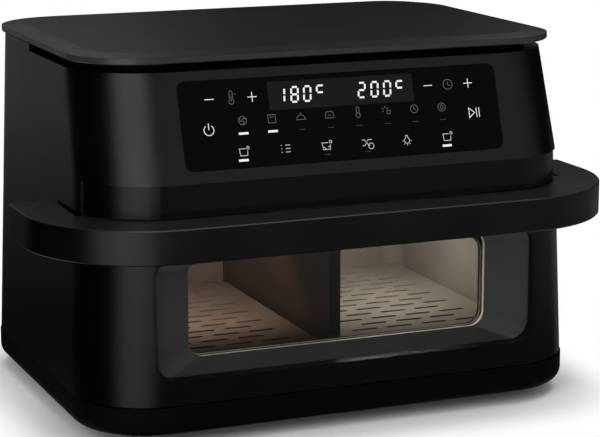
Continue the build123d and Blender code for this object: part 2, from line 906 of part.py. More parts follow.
def make_drawer_handle():
    """A flat-topped bar round the front and both corners, hollow from below as a finger grip."""
    bar = extrude(rounded(overall_width / 2, handle_front, ear_end, handle_corner_radius, 2.0, handle_bottom),
                  amount=handle_height)
    ends = bar.edges().group_by(Axis.Z)
    bar = chamfer(ends[0] + ends[-1], handle_edge)
    grip = rounded(overall_width / 2 - handle_wall, handle_front + handle_wall, ear_end - ear_end_wall,
                   handle_corner_radius - handle_wall, 1.0, handle_bottom - 1)
    grip = extrude(grip, amount=handle_height - handle_shelf + 1)
    core = form(handle_bottom - 2, drawer_top, -handle_inner_wall) & front_zone()
    seam = front_at(handle_bottom) + side_seam_depth
    ear_wall = ear_inner + handle_inner_wall
    core = core + block(-ear_wall, ear_wall, seam - 20, reach, handle_bottom - 2, drawer_top)
    bar = bar - (grip - core)
    bar = bar - (form(handle_bottom - 2, drawer_top) & front_zone())
    inner = form(drawer_top - 1, handle_top + 1, shelf_lap)
    bar = bar - inner
    bar = bar - block(-ear_inner, ear_inner, seam - 1, reach, handle_bottom - 2, handle_top + 1)
    return bar - make_handle_screws().solids()


def make_handle_screws():
    """Screws up through the flange of the drawer front, into the handle's shelf."""
    y = front_at(drawer_top) + front_wall + screw_head_radius + 0.6
    one = Rot(180, 0, 0) * screw(flange + handle_shelf - 1)
    spacing = strip_width / 5
    return Compound(children=[Pos(i * spacing, y, drawer_top - flange) * one for i in (-2, -1, 0, 1, 2)])


def window_face(width, bottom, top, radius, y, grow=0.0):
    return upright(width + 2 * grow, bottom - grow, top + grow, radius + grow, y)


def make_window_surround():
    """Splayed frame that narrows from the opening in the front panel to the outer pane."""
    outside = loft([
        window_face(opening_width, opening_bottom, opening_top, opening_radius, lip_back, surround_wall),
        window_face(pane_view_width, pane_view_bottom, pane_view_top, pane_view_radius, surround_back,
                    surround_wall),
    ], ruled=True)
    inside = loft([
        window_face(opening_width, opening_bottom, opening_top, opening_radius, lip_back),
        window_face(pane_view_width, pane_view_bottom, pane_view_top, pane_view_radius, surround_back),
    ], ruled=True)
    rim = slab(opening_width + 2 * surround_flange, opening_bottom - surround_flange,
               opening_top + surround_flange, opening_radius + surround_flange, lip_back,
               lip_back + surround_wall)
    seat = slab(pane_view_width + 2 * pane_lap, pane_view_bottom - pane_lap, pane_view_top + pane_lap,
                pane_view_radius + pane_lap, surround_back - surround_wall, surround_back)
    mouth = slab(pane_view_width, pane_view_bottom, pane_view_top, pane_view_radius,
                 surround_back - 2 * surround_wall, surround_back + 1)
    frame = outside + rim + seat
    return frame - inside - mouth


def pane(y0, y1, lap, hole=0.0):
    """Rounded plate over the window's view, with an optional hole that leaves a rim."""
    plate = slab(pane_view_width + 2 * lap, pane_view_bottom - lap, pane_view_top + lap,
                 pane_view_radius + lap, y0, y1)
    if hole:
        edge = lap - hole
        plate = plate - slab(pane_view_width + 2 * edge, pane_view_bottom - edge, pane_view_top + edge,
                             pane_view_radius + edge, y0 - 1, y1 + 1)
    return plate


gasket_back = surround_back + gasket_thickness
outer_pane_back = gasket_back + outer_pane
clamp_back = outer_pane_back + clamp_thickness


def make_glass_gasket():
    return pane(surround_back, gasket_back, pane_lap, pane_lap)


def make_outer_glass():
    return pane(gasket_back, outer_pane_back, pane_lap)


def make_glass_clamp():
    return pane(outer_pane_back, clamp_back, pane_lap + 1, pane_lap)


def make_inner_glass():
    return pane(pan_front - inner_pane, pan_front, pane_lap)


def pan_face(z, grow=0.0):
    """Section of the pan: the walls lean out towards the rim."""
    step = pan_lean * (pan_top - z) / (pan_top - pan_bottom) - grow
    return rounded(pan_width / 2 - step, pan_front - grow, pan_rear - step, pan_corner_radius + grow,
                   pan_corner_radius + grow, z)


def pan_body(grow=0.0, low=0.0):
    return loft([pan_face(pan_bottom + low, grow), pan_face(pan_top, grow)], ruled=True)


def pan_inner(z):
    """Half width and rear of the space in the pan at a level."""
    step = pan_lean * (pan_top - z) / (pan_top - pan_bottom) + pan_wall
    return pan_width / 2 - step, pan_rear - step


def make_cooking_pan():
    outer = pan_body()
    outer = fillet(outer.edges().group_by(Axis.Z)[0], pan_floor_radius)
    inner = loft([pan_face(pan_bottom + pan_wall, -pan_wall), pan_face(pan_top + 0.01, -pan_wall)], ruled=True)
    inner = chamfer(inner.edges().group_by(Axis.Z)[0], pan_floor_radius - pan_wall)
    rim = rounded(pan_width / 2 + pan_rim, pan_front, pan_rear + pan_rim, pan_corner_radius,
                  pan_corner_radius + pan_rim, pan_top - pan_wall)
    pan = outer + extrude(rim, amount=pan_wall) - inner
    view = slab(pane_view_width, pane_view_bottom, pane_view_top - 6, pane_view_radius, pan_front - 2,
                pan_front + 10)
    return pan - view


def make_inner_glass_clips():
    """Bent tabs that hold the inner pane against the front of the pan."""
    pieces = []
    x = pane_view_width / 2 + pane_lap
    y = pan_front - inner_pane
    for z in (pane_view_bottom + 14, pane_view_top - 22):
        tab = block(x - 4, x + 7, y - 1, y, z, z + 10) + block(x, x + 7, y, pan_front, z, z + 10)
        pieces.append(tab)
        pieces.append(mirror(tab, about=Plane.YZ))
    return Compound(children=pieces)


def make_pan_brackets():
    """Stiff side arms that carry the pan behind the front panel."""
    edge = opening_width / 2 + surround_flange
    y0 = lip_back + surround_wall
    z0 = pane_view_bottom + 8
    z1 = pan_top - 12
    arm = block(edge - 2, edge, y0, pan_front, z0, z1)
    arm = arm + block(edge - 5, edge, y0, y0 + 2, z0, z1)
    arm = arm + block(pan_width / 2 - pan_corner_radius - 9, edge, pan_front - 2, pan_front, z0, z1)
    return both_sides(arm)


def make_drawer_slides():
    """Bars on the sides of the pan that run between the ledges in the cavity."""
    x1 = liner_width / 2 - liner_wall - slide_side_gap
    h = slide_height / 2
    bar = block(pan_width / 2 - 20, x1, pan_front + pan_corner_radius, pan_rear - pan_corner_radius,
                runner_level - h, runner_level + h)
    return both_sides(bar - pan_body())


def make_divider_guides():
    """Channels on the pan's front and back walls that hold the divider upright."""
    x0 = divider_thickness / 2 + running_gap
    x1 = x0 + guide_wall
    z0 = pan_bottom + pan_floor_radius
    z1 = pan_top - 8
    front = pan_front + pan_wall
    pieces = []
    for sx in (-1, 1):
        a, b = sorted((sx * x0, sx * x1))
        pieces.append(block(a, b, front, front + guide_depth, z0, z1))
        rear = pan_inner(z0)[1]
        rib = block(a, b, rear - guide_depth, pan_rear + 5, z0, z1)
        pieces.append(rib & pan_cavity())
    return Compound(children=pieces)


def pan_cavity():
    return loft([pan_face(pan_bottom + pan_wall, -pan_wall), pan_face(pan_top, -pan_wall)], ruled=True)


def make_zone_divider():
    """Removable wall between the two zones, with a finger hole near its top edge."""
    z0 = pan_bottom + pan_wall + running_gap
    front = pan_front + pan_wall + running_gap
    low = pan_inner(z0)[1] - running_gap
    high = pan_inner(divider_top)[1] - running_gap
    step = pan_floor_radius
    points = [(front + step, z0), (low - step, z0), (low, z0 + step), (high, divider_top),
              (front, divider_top), (front, z0 + step)]
    half = divider_thickness / 2
    plate = extrude(Plane.YZ * make_face(Polyline(*points, close=True)), amount=half, both=True)
    hole = Pos((front + high) / 2, divider_top - grip_drop) * SlotOverall(grip_length, grip_height)
    grip = Plane.YZ * hole
    return plate - extrude(grip, amount=divider_thickness, both=True)


def plate_span():
    """Left, right, front and rear limits of the right-hand crisper plate."""
    half, rear = pan_inner(plate_level - plate_skirt)
    x0 = divider_thickness / 2 + guide_wall + plate_gap
    return x0, half - plate_gap, pan_front + pan_wall + guide_depth + 1, rear - guide_depth - 1


def make_crisper_plate(sx):
    """Perforated tray with a turned-down edge and staggered slots."""
    x0, x1, y0, y1 = plate_span()
    width = x1 - x0
    depth = y1 - y0
    cx = (x0 + x1) / 2
    cy = (y0 + y1) / 2
    top = plate_level + plate_thickness
    body = extrude(Pos(0, 0, plate_level - plate_skirt) * RectangleRounded(width, depth, plate_corner_radius),
                   amount=plate_thickness + plate_skirt)
    body = chamfer(body.edges().group_by(Axis.Z)[-1], plate_edge)
    under = RectangleRounded(width - 2 * plate_thickness, depth - 2 * plate_thickness,
                             plate_corner_radius - plate_thickness)
    body = body - extrude(Pos(0, 0, plate_level - plate_skirt - 1) * under, amount=plate_skirt + 1)
    columns = int((width - 16) / plate_slot_pitch_x)
    rows = int((depth - 20) / plate_slot_pitch_y)
    end = plate_slot_length / 2
    side = plate_slot_width / 2
    points = [(-end, 0), (side - end, -side), (end - side, -side),
              (end, 0), (end - side, side), (side - end, side)]
    slot = extrude(make_face(Polyline(*points, close=True)), amount=plate_thickness + 2)
    cuts = []
    for j in range(rows):
        shift = plate_slot_pitch_x / 2 if j % 2 else 0
        for i in range(columns - (j % 2)):
            x = (i - (columns - 1) / 2) * plate_slot_pitch_x + shift
            y = (j - (rows - 1) / 2) * plate_slot_pitch_y
            cuts.append(Pos(x, y, top - plate_thickness - 1) * slot)
    body = body - cuts
    return Pos(sx * cx, cy) * body


def make_plate_bumpers(sx):
    """Four silicone feet under the corners of a crisper plate."""
    x0, x1, y0, y1 = plate_span()
    low = pan_bottom + pan_wall + running_gap
    inset = bumper_radius + 6
    pieces = []
    for x in (x0 + inset, x1 - inset):
        for y in (y0 + inset, y1 - inset):
            pieces.append(prism(sx * x, y, low, plate_level, bumper_radius, 12))
    return Compound(children=pieces)


# Drawer sensing


def make_drawer_sensor():
    z = liner_lip_bottom + 6
    half = sensor_width / 2
    front = liner_front - sensor_depth
    return block(sensor_x - half, sensor_x + half, front, liner_front, z, z + sensor_height)


def make_drawer_magnet():
    z = drawer_top - 14
    y = front_at(z) + front_wall
    box = block(sensor_x - sensor_width / 2, sensor_x + sensor_width / 2, y - 1, y + sensor_depth, z,
                z + sensor_height)
    return box - form(z - 5, z + sensor_height + 5) + (box & form(z - 5, z + sensor_height + 5, front_wall))


def make_base_screws():
    """Screws up through the floor of the tray into the rails."""
    x = rail_spacing / 2
    one = Rot(180, 0, 0) * screw(shell_wall + rail_wall)
    places = [(sx * x, y) for sx in (-1, 1) for y in (frame_front + 30, liner_rear - 20)]
    return Compound(children=[Pos(x, y, foot_height) * one for x, y in places])


parts = {
    "base_tray": make_base_tray(),
    "rubber_feet": make_rubber_feet(),
    "base_screws": make_base_screws(),
    "housing_shell": make_housing_shell(),
    "top_cover": make_top_cover(),
    "vent_neck": make_vent_neck(),
    "control_fascia": make_control_fascia(),
    "control_glass": make_control_glass(),
    "display_module": make_display_module(),
    "control_board": make_control_board(),
    "band_trim": make_band_trim(),
    "gloss_strip": strip_body(),
    "chassis_rails": make_chassis_rails(),
    "front_frame": make_front_frame(),
    "cavity_liner": make_cavity_liner(),
    "drawer_runners": make_drawer_runners(),
    "insulation_pad": make_insulation_pad(),
    "heat_shield": make_heat_shield(),
    "heater_guards": make_heater_guards(),
    "heating_elements": make_heating_elements(),
    "motor_brackets": make_motor_brackets(),
    "motor_screws": make_motor_screws(),
    "fan_motors": make_fan_motors(),
    "temperature_probes": make_temperature_probes(),
    "lamp_lens": make_lamp_lens(),
    "lamp_holder": make_lamp_holder(),
    "board_standoffs": make_board_standoffs(),
    "power_board": make_power_board(),
    "power_components": make_power_components(),
    "exhaust_duct": make_exhaust_duct(),
    "exhaust_grille": make_exhaust_grille(),
    "cord_gland": make_cord_gland(),
    "drawer_sensor": make_drawer_sensor(),
    "drawer_front": make_drawer_front(),
    "drawer_handle": make_drawer_handle(),
    "handle_screws": make_handle_screws(),
    "window_surround": make_window_surround(),
    "glass_gasket": make_glass_gasket(),
    "outer_glass": make_outer_glass(),
    "glass_clamp": make_glass_clamp(),
    "inner_glass": make_inner_glass(),
    "inner_glass_clips": make_inner_glass_clips(),
    "cooking_pan": make_cooking_pan(),
    "pan_brackets": make_pan_brackets(),
    "drawer_slides": make_drawer_slides(),
    "divider_guides": make_divider_guides(),
    "drawer_magnet": make_drawer_magnet(),
    "zone_divider": make_zone_divider(),
}
for side, sx in (("left", -1), ("right", 1)):
    parts["crisper_plate_" + side] = make_crisper_plate(sx)
    parts["plate_bumpers_" + side] = make_plate_bumpers(sx)
    parts["convection_fan_" + side] = make_convection_fan(sx)
    parts["cooling_fan_" + side] = make_cooling_fan(sx)
    parts["fan_shaft_" + side] = make_fan_shaft(sx)

os.makedirs("parts", exist_ok=True)
for name, solid in parts.items():
    export_step(solid, "parts/" + name + ".step")
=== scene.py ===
import math

import bpy
import numpy as np
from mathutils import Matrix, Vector


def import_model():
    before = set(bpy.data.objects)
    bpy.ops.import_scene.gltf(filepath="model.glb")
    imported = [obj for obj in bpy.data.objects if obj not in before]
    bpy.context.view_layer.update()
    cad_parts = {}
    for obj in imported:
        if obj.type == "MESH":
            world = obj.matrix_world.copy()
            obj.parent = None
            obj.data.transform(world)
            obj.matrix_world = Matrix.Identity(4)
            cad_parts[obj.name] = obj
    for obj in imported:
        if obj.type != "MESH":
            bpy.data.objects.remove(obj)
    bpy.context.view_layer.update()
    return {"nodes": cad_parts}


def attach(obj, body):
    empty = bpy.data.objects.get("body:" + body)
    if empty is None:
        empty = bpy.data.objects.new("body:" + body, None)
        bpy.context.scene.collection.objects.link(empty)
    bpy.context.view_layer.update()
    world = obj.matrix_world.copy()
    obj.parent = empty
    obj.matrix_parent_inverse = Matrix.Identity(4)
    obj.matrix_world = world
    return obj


# Looks of a two-zone air fryer. Lengths here are millimetres until mm() turns them to metres.
# The panel's own directions are u, to the right, and v, up its slope.

FASCIA_FOOT = (0.0, -139.2, 200.7)
PANEL_ANGLE = math.atan2(26.2, 80.4)

# Display window on the panel: half width, half height, height of its middle, corner radius
DISPLAY_WINDOW = (60.3, 10.9, 62.1, 2.0)

# Rows of print on the panel, by height: lit figures, upper keys, programme keys and zone keys
FIGURE_ROW = 62.3
UPPER_ROW = 62.5
PROGRAMME_ROW = 45.0
ZONE_ROW = 21.6
# Places across of the eight programme keys, and of the on and start keys at the ends of the panel
PROGRAMME_AT = (-83.2, -59.6, -35.9, -12.3, 11.4, 35.5, 59.0, 82.7)
ON_KEY = (-110.6, 39.4)
START_KEY = (105.9, 39.0)
# Lit figure: width and height between the middles of its lines, and how far it leans for each unit of height
FIGURE_SIZE = (5.4, 11.2)
FIGURE_SLANT = 0.10
# Height of the print over the glass, and widths of its lines
PRINT_LIFT = 0.06
FIGURE_LINE = 1.45
BAR_LINE = 1.7
MAIN_LINE = 0.55
ZONE_LINE = 0.48
PROGRAMME_LINE = 0.42
UNLIT_LINE = 0.5

# Pale bead behind the outer pane that paints the highlight on the inner pane's edge: half width, lower edge,
# upper edge and corner radius of its outline, then its depth and the radius of the bead
HIGHLIGHT_BEAD_OUTLINE = (126.0, 62.5, 134.2, 12.0)
HIGHLIGHT_BEAD_DEPTH = -110.5
HIGHLIGHT_BEAD_RADIUS = 0.45

# Tent that the satin surfaces mirror: its size, how bright its cloth is, its steps round and up, and the
# angle that it reaches up and down
TENT_RADIUS = 1100.0
TENT_CENTRE = 120.0
TENT_BASE = 0.006
TENT_STEPS = (72, 36)
TENT_REACH = 89
# Soft panels: direction round from the front (right is positive), half width, direction up, half height, glow
TENT_PANELS = (
    (-41, 22, 35, 55, 1.35),
    (25, 45, 30, 38, 0.35),
    (15, 60, 65, 18, 0.9),
    (85, 28, -5, 7, 0.15),
    (-158, 20, 15, 22, 0.15),
    (157, 60, 45, 25, 0.09),
    (180, 14, 45, 25, 0.21),
    (128, 14, 45, 25, 0.22),
    (170, 16, -12, 10, 0.25),
    (118, 18, -14, 9, 0.10),
    (0, 1000, -42, 16, 0.35),
)

# Heights where the painted highlights start: the cover is painted paler below the upper end of its upright
# rim, and the handle above the upper end of its upright faces
RIM_TOP = 292.7
GRIP_RIM = 174.3

# The floor shows as it is lit near the fryer, and turns to plain white paper further out: half sides and
# middle of a box inside the base, and the distances from that box between which the change happens
CORE_BOX = (150.0, 110.0, 10.0)
WHITE_FROM = 60.0
WHITE_TO = 120.0

# Half side of the floor
FLOOR_HALF = 6000.0

# Light of the surround on the object
WORLD_LEVEL = 0.5

# Lamps: name, place and aim in metres, width and height in metres, power and colour. Two softboxes stand
# outside, and the lamp of the cavity shines over each zone.
LAMPS = (
    ("left_softbox", (-1.6, -1.5, 0.9), (0, 0, 0.15), (0.9, 1.6), 20, "#ffffff"),
    ("top_softbox", (0.2, -0.2, 2.2), (0, 0, 0.1), (1.8, 1.8), 32, "#ffffff"),
    ("cavity_left", (-0.085, 0.01, 0.150), (-0.085, 0.07, 0.08), (0.12, 0.14), 0.70, "#ffddd0"),
    ("cavity_right", (0.085, 0.01, 0.150), (0.085, 0.05, 0.07), (0.12, 0.14), 1.25, "#f8f4f0"),
)

# Camera: place in metres, tilt down and turn to the right in degrees, and lens
CAMERA_PLACE = (-0.64856, -1.59093, 0.50721)
CAMERA_TILT = 12.168
CAMERA_TURN = 22.663
CAMERA_LENS = 127.575


def linear(code):
    """sRGB hex colour to linear values with full alpha."""
    parts = np.array([int(code[i:i + 2], 16) / 255 for i in (1, 3, 5)])
    low = parts / 12.92
    high = ((parts + 0.055) / 1.055) ** 2.4
    return (*np.where(parts <= 0.04045, low, high).tolist(), 1.0)


def mm(value):
    """Millimetres to metres."""
    return np.asarray(value, float) / 1000


def link(name, data):
    """New object for some data, in the scene."""
    item = bpy.data.objects.new(name, data)
    bpy.context.scene.collection.objects.link(item)
    return item


# Materials


def add(tree, kind, settings=None, links=None):
    """Adds a node, sets its properties and input values, and links inputs to other nodes' outputs."""
    node = tree.nodes.new(kind)
    for key, value in (settings or {}).items():
        if isinstance(key, str) and hasattr(node, key):
            setattr(node, key, value)
        else:
            node.inputs[key].default_value = value
    for key, source in (links or {}).items():
        tree.links.new(source, node.inputs[key])
    return node


def blank(name):
    """New material with its shader and output, and the object's coordinates."""
    material = bpy.data.materials.new(name)
    material.use_nodes = True
    tree = material.node_tree
    tree.nodes.clear()
    shader = add(tree, "ShaderNodeBsdfPrincipled")
    add(tree, "ShaderNodeOutputMaterial", links={"Surface": shader.outputs[0]})
    place = add(tree, "ShaderNodeTexCoord").outputs["Object"]
    return material, tree, shader, place


# Middle range of a noise's values, over which tones and roughness spread
MIDDLE = (0.3, 0.7)


def settle(shader, **values):
    """Sets constant values on the shader's own sockets."""
    for name, value in values.items():
        shader.inputs[name.replace("_", " ")].default_value = value


def grain(tree, place, size, detail=2.0):
    """Noise whose features are about the given size in millimetres."""
    return add(tree, "ShaderNodeTexNoise", {"Scale": 1000.0 / size, "Detail": detail, "Roughness": 0.55},
               {"Vector": place}).outputs["Fac"]


def spread(tree, value, low, high, within=MIDDLE):
    """Maps a range of a pattern, its middle one unless told otherwise, to a span of values."""
    return add(tree, "ShaderNodeMapRange",
               {"From Min": within[0], "From Max": within[1], "To Min": low, "To Max": high},
               {"Value": value}).outputs["Result"]


def tint(tree, value, dark, light):
    """Colour between two hex colours by a pattern's value."""
    ramp = add(tree, "ShaderNodeValToRGB", links={"Fac": value})
    for element, position, code in zip(ramp.color_ramp.elements, MIDDLE, (dark, light)):
        element.position = position
        element.color = linear(code)
    return ramp.outputs["Color"]


def blend(tree, share, first, second):
    """Colour from the first to the second by a share: each is a node's output or a hex code."""
    node = add(tree, "ShaderNodeMix", {"data_type": "RGBA"}, {0: share})
    for place, colour in ((6, first), (7, second)):
        if isinstance(colour, str):
            node.inputs[place].default_value = linear(colour)
        else:
            tree.links.new(colour, node.inputs[place])
    return node.outputs[2]


def relief(tree, shader, height, depth):
    """Bump of a given depth in millimetres."""
    bump = add(tree, "ShaderNodeBump", {"Strength": 1.0, "Distance": depth / 1000}, {"Height": height})
    tree.links.new(bump.outputs["Normal"], shader.inputs["Normal"])


def moulded_plastic(name, dark, light, rough, texture=0.9, depth=0.006, level=0.5):
    """Moulded plastic: a spark-eroded texture breaks the shine, and moulding flow shifts it slightly."""
    material, tree, shader, place = blank(name)
    fine = grain(tree, place, texture, 3.0)
    flow = grain(tree, place, 60.0, 1.0)
    tree.links.new(tint(tree, flow, dark, light), shader.inputs["Base Color"])
    tree.links.new(spread(tree, flow, rough - 0.03, rough + 0.03), shader.inputs["Roughness"])
    settle(shader, IOR=1.5, Specular_IOR_Level=level)
    relief(tree, shader, fine, depth)
    return material


def plastic_with_painted_highlight(name, above, below, split, rough, texture, depth):
    """Satin moulded plastic in one pair of tones above a height in millimetres, and another pair below it:
    the paler pair is a painted highlight where the light falls.
    """
    material, tree, shader, place = blank(name)
    flow = grain(tree, place, 60.0, 1.0)
    height = add(tree, "ShaderNodeSeparateXYZ", links={"Vector": place}).outputs["Z"]
    # Faces on one side of this height get the paler pair, a painted highlight
    upper = arithmetic(tree, "GREATER_THAN", height, float(mm(split)))
    tone = blend(tree, upper, tint(tree, flow, *below), tint(tree, flow, *above))
    tree.links.new(tone, shader.inputs["Base Color"])
    tree.links.new(spread(tree, flow, rough - 0.03, rough + 0.03), shader.inputs["Roughness"])
    settle(shader, IOR=1.5)
    relief(tree, shader, grain(tree, place, texture, 3.0), depth)
    return material


def sheet_metal(name, dark, light, rough, stretch=(1.0, 30.0, 1.0), depth=0.004):
    """Rolled or pressed metal: fine lines along the rolling direction, and blotches where it is coated."""
    material, tree, shader, place = blank(name)
    along = add(tree, "ShaderNodeMapping", {"Scale": stretch}, {"Vector": place}).outputs[0]
    lines = grain(tree, along, 8.0, 3.0)
    cloud = grain(tree, place, 35.0, 2.0)
    tree.links.new(tint(tree, cloud, dark, light), shader.inputs["Base Color"])
    tree.links.new(spread(tree, lines, rough - 0.06, rough + 0.08), shader.inputs["Roughness"])
    settle(shader, Metallic=1.0)
    relief(tree, shader, lines, depth)
    return material


def make_materials():
    """Every finish, by its short name."""
    m = {}
    # ABS shell: fine eroded texture gives a deep black with soft, wide highlights
    m["shell_abs"] = moulded_plastic("fine_textured_abs_shell", "#010102", "#030304", 0.24)
    # The same skin with a little less shine, on the front
    m["front_abs"] = moulded_plastic("fine_textured_abs_front", "#010102", "#030304", 0.24, level=0.38)
    # Satin cover whose upright rim, below its top face, is painted paler: a painted highlight of the light
    # from in front and above
    m["cover_abs"] = plastic_with_painted_highlight("satin_abs_cover_rim_painted_highlight", ("#08080a", "#0b0b0c"), ("#29292a", "#29292a"),
                                      RIM_TOP, 0.3, 0.9, 0.006)
    # Satin handle whose upper face is painted paler: a painted highlight of the light from above
    m["grip_abs"] = plastic_with_painted_highlight("satin_abs_handle_top_painted_highlight", ("#1a1a1b", "#1d1d1e"), ("#020203", "#040405"),
                                     GRIP_RIM, 0.29, 0.7, 0.004)
    # Polished tool: the strip is the one glossy piece of the front
    m["strip_abs"] = moulded_plastic("polished_abs_strip", "#040405", "#050506", 0.08, 3.0, 0.0005, 0.3)
    # Dark grey frame of the window
    m["surround_abs"] = moulded_plastic("satin_abs_surround", "#302f2f", "#353434", 0.32, 1.2, 0.003)
    # Matt black collar that stays dark under the cover
    m["neck_abs"] = moulded_plastic("black_abs_vent_neck", "#020202", "#030303", 0.6, level=0.1)
    # Base with a coarser skin than the shell's, and hardly any shine
    m["base_abs"] = moulded_plastic("coarse_textured_abs_base", "#010101", "#020202", 0.6, 1.4, 0.01, 0.08)
    # Plain moulded pieces behind the front
    m["dark_abs"] = moulded_plastic("unpainted_abs_inside", "#0d0d0e", "#101011", 0.55)
    # Feet and cord bush
    m["rubber"] = moulded_plastic("moulded_rubber", "#08080a", "#0b0b0c", 0.75, 1.5, 0.02)
    # Bumpers of the plates, and the pale seals of the panes, whose tone also colours the bead of the painted
    # pane-edge highlight
    m["silicone"] = moulded_plastic("cured_silicone", "#3a3936", "#42413d", 0.5, 2.0, 0.01)
    m["seal"] = moulded_plastic("pale_silicone_seal", "#cdc7bb", "#d8d3c8", 0.4, 2.0, 0.005)
    # Blocks, standoffs and lamp holder
    m["electric"] = moulded_plastic("glass_filled_nylon", "#1c2a33", "#22323c", 0.5, 1.0, 0.01)
    # Metals: folded sheet, cavity and elements, fans, and the motors' stacks of laminations
    m["rolled_zinc"] = sheet_metal("zinc_plated_steel", "#8e9193", "#a7aaab", 0.36)
    m["stainless"] = sheet_metal("brushed_stainless_steel", "#6f6a64", "#857f78", 0.34)
    m["pressed_aluminium"] = sheet_metal("pressed_aluminium", "#b4b6b8", "#c6c8ca", 0.32)
    m["laminations"] = sheet_metal("lacquered_steel_laminations", "#3c3d40", "#4a4b4e", 0.45,
                                   (1.0, 1.0, 60.0), 0.02)
    # Coat of the pan and plates, and a browner coat on the divider and its guides, made darker still as
    # painted shade on the divider's face
    m["nonstick"] = nonstick("sprayed_nonstick_coat", "#3c3a37", "#464440", "#5b5853")
    m["brown_nonstick_painted_shade"] = nonstick("brown_nonstick_coat", "#17110e", "#1e1713", "#2c231d")
    m["window_glass"] = clear_glass()
    m["lamp_glass"] = lamp_glass()
    m["panel_glass"] = printed_glass()
    m["fibre"] = fibre_mat()
    m["laminate"] = laminate()
    return m


def nonstick(name, dark, light, mark_tone):
    """Sprayed non-stick coat: dark and warm with paler mineral flecks and a slight orange peel."""
    material, tree, shader, place = blank(name)
    fleck = grain(tree, place, 1.6, 1.0)
    cloud = grain(tree, place, 50.0, 2.0)
    mark = spread(tree, fleck, 0.0, 1.0, (0.68, 0.74))
    tree.links.new(blend(tree, mark, tint(tree, cloud, dark, light), mark_tone), shader.inputs["Base Color"])
    settle(shader, Roughness=0.42, IOR=1.45)
    relief(tree, shader, grain(tree, place, 1.4, 2.0), 0.002)
    return material


def clear_glass():
    """Float glass of an oven window: clear, a little warm, with faint waviness."""
    material, tree, shader, place = blank("tempered_window_glass")
    settle(shader, Base_Color=linear("#f2efe9"), Roughness=0.0, IOR=1.46, Transmission_Weight=1.0)
    relief(tree, shader, grain(tree, place, 90.0, 1.0), 0.004)
    return material


def lamp_glass():
    """Frosted cover of the cavity's lamp, lit from behind."""
    material, tree, shader, place = blank("frosted_lamp_glass")
    settle(shader, Base_Color=linear("#fff0d8"), Roughness=0.4, Emission_Color=linear("#ffdcae"),
           Emission_Strength=1.5)
    relief(tree, shader, grain(tree, place, 1.2, 2.0), 0.02)
    return material


def printed_glass():
    """Touch glass printed black from behind, with a smoked window over the display."""
    material, tree, shader, place = blank("back_printed_touch_glass")
    foot = tuple(-mm(FASCIA_FOOT))
    upright = (PANEL_ANGLE - math.pi / 2, 0, 0)
    lower = add(tree, "ShaderNodeMapping", {"Location": foot}, {"Vector": place}).outputs[0]
    turned = add(tree, "ShaderNodeMapping", {"Rotation": upright}, {"Vector": lower}).outputs[0]
    split = add(tree, "ShaderNodeSeparateXYZ", links={"Vector": turned}).outputs
    inside = rounded_mask(tree, split["X"], split["Y"], *mm(DISPLAY_WINDOW))
    tree.links.new(blend(tree, inside, "#030304", "#141817"), shader.inputs["Base Color"])
    settle(shader, Roughness=0.06, IOR=1.5, Specular_IOR_Level=0.08)
    relief(tree, shader, grain(tree, place, 70.0, 1.0), 0.002)
    return material


def arithmetic(tree, kind, first, second=None):
    """Math node whose inputs are outputs of nodes or numbers."""
    node = add(tree, "ShaderNodeMath", {"operation": kind})
    for socket, value in zip(node.inputs, (first, second)):
        if hasattr(value, "is_output"):
            tree.links.new(value, socket)
        elif value is not None:
            socket.default_value = value
    return node.outputs[0]


def outside_box(tree, x, y, half_x, half_y, centre_y):
    """Distance outside a rectangle, 0 within it: the length of what x and y go beyond its half sides."""
    dx = arithmetic(tree, "SUBTRACT", arithmetic(tree, "ABSOLUTE", x), half_x)
    dy = arithmetic(tree, "ABSOLUTE", arithmetic(tree, "SUBTRACT", y, centre_y))
    dy = arithmetic(tree, "SUBTRACT", dy, half_y)
    dx = arithmetic(tree, "MAXIMUM", dx, 0.0)
    dy = arithmetic(tree, "MAXIMUM", dy, 0.0)
    return arithmetic(tree, "SQRT", arithmetic(tree, "ADD", arithmetic(tree, "MULTIPLY", dx, dx),
                                               arithmetic(tree, "MULTIPLY", dy, dy)))


def rounded_mask(tree, x, y, half_x, half_y, centre_y, radius):
    """1 inside a rounded rectangle: the distance past its inner corners is under the corner's radius."""
    far = outside_box(tree, x, y, float(half_x - radius), float(half_y - radius), float(centre_y))
    return arithmetic(tree, "LESS_THAN", far, float(radius))


def lit_ink(name, code, strength):
    """Print or segment lit from behind, seen through the glass."""
    material, tree, shader, place = blank(name)
    glow = tint(tree, grain(tree, place, 6.0, 1.0), code, code)
    tree.links.new(glow, shader.inputs["Emission Color"])
    settle(shader, Base_Color=linear("#101010"), Roughness=0.2, Emission_Strength=strength)
    return material


def fibre_mat():
    """Needled ceramic fibre: pale, matt and fluffy."""
    material, tree, shader, place = blank("needled_ceramic_fibre")
    fluff = grain(tree, place, 2.5, 4.0)
    tree.links.new(tint(tree, fluff, "#cfcabd", "#e6e2d6"), shader.inputs["Base Color"])
    settle(shader, Roughness=0.95)
    relief(tree, shader, fluff, 0.3)
    return material


def laminate():
    """Glass-epoxy circuit board with darker traces."""
    material, tree, shader, place = blank("glass_epoxy_board")
    traces = add(tree, "ShaderNodeTexBrick", {"Scale": 200.0, "Mortar Size": 0.02}, {"Vector": place})
    traces.inputs["Color1"].default_value = linear("#1f5a33")
    traces.inputs["Color2"].default_value = linear("#1b4f2d")
    traces.inputs["Mortar"].default_value = linear("#2f7a48")
    tree.links.new(traces.outputs["Color"], shader.inputs["Base Color"])
    settle(shader, Roughness=0.35)
    return material


# Shapes


def new_piece(name, points, faces, material):
    """Object whose mesh has the given points, in millimetres, and faces."""
    mesh = bpy.data.meshes.new(name)
    mesh.from_pydata(mm(points).tolist(), [], faces.tolist())
    mesh.materials.append(material)
    mesh.update()
    return link(name, mesh)


